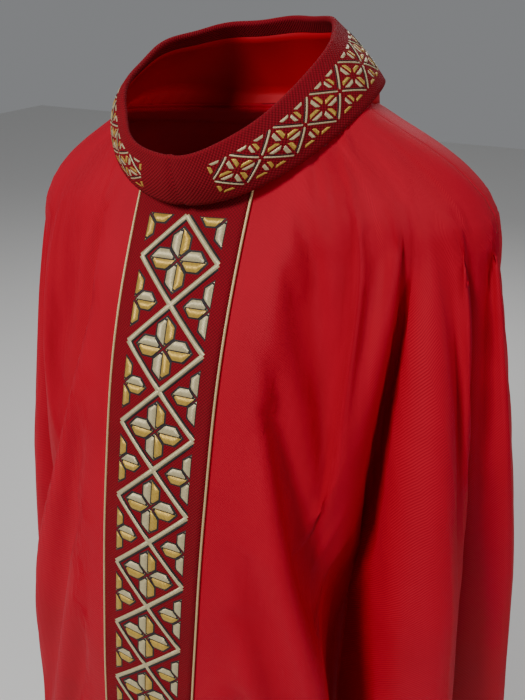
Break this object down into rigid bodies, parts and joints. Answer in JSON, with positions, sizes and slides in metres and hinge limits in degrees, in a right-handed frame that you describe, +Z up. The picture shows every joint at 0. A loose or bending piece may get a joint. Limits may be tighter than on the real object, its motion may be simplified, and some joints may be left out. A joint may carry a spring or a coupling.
{
  "type": "chasuble",
  "caption": "Wide sleeveless church vestment that hangs from the shoulders, with a stand collar, embroidered strips down front and back, and side drapes that lift with the arms.",
  "frame": {"origin": "centre of the neck's base, on the line between the two shoulder seams", "axes": "+Z up along the wearer's neck, -Y out of the front, +X towards the wearer's left"},
  "size_m": [0.7312, 0.5835, 1.3392],
  "materials": {
    "red_twill": "soft wool-blend twill",
    "red_hopsack": "coarse matt basket weave",
    "red_lining": "smooth plain weave",
    "red_tape": "narrow woven tape",
    "interfacing": "stiff non-woven",
    "metallic_embroidery": "silver, gold and black satin stitch",
    "gold_cord": "twisted metallic cord"
  },
  "bodies": {
    "root": {"front_left_panel": "red_twill", "front_right_panel": "red_twill", "front_orphrey": "red_hopsack", "front_orphrey_interfacing": "interfacing", "front_orphrey_embroidery": "metallic_embroidery", "front_orphrey_left_cord": "gold_cord", "front_orphrey_right_cord": "gold_cord", "front_hem_facing": "red_twill", "back_left_panel": "red_twill", "back_right_panel": "red_twill", "back_orphrey": "red_hopsack", "back_orphrey_interfacing": "interfacing", "back_orphrey_embroidery": "metallic_embroidery", "back_orphrey_left_cord": "gold_cord", "back_orphrey_right_cord": "gold_cord", "back_hem_facing": "red_twill", "left_shoulder_tape": "red_tape", "collar_left_embroidery": "metallic_embroidery", "right_shoulder_tape": "red_tape", "collar_right_embroidery": "metallic_embroidery", "neck_facing": "red_twill", "collar_outer": "red_hopsack", "collar_top_roll": "red_hopsack", "collar_facing": "red_lining", "collar_interlining": "interfacing"},
    "left_drape": {"front_left_drape": "red_twill", "back_left_drape": "red_twill", "left_drape_hem_facing": "red_twill"},
    "right_drape": {"front_right_drape": "red_twill", "back_right_drape": "red_twill", "right_drape_hem_facing": "red_twill"}
  },
  "joints": [
    {"name": "left_drape_lift", "type": "hinge", "parent": "root", "child": "left_drape", "pos_m": [0.19, 0, -0.022], "axis": [0, -1, 0], "range_deg": [0, 55]},
    {"name": "right_drape_lift", "type": "hinge", "parent": "root", "child": "right_drape", "pos_m": [-0.19, 0, -0.022], "axis": [0, 1, 0], "range_deg": [0, 55]}
  ]
}
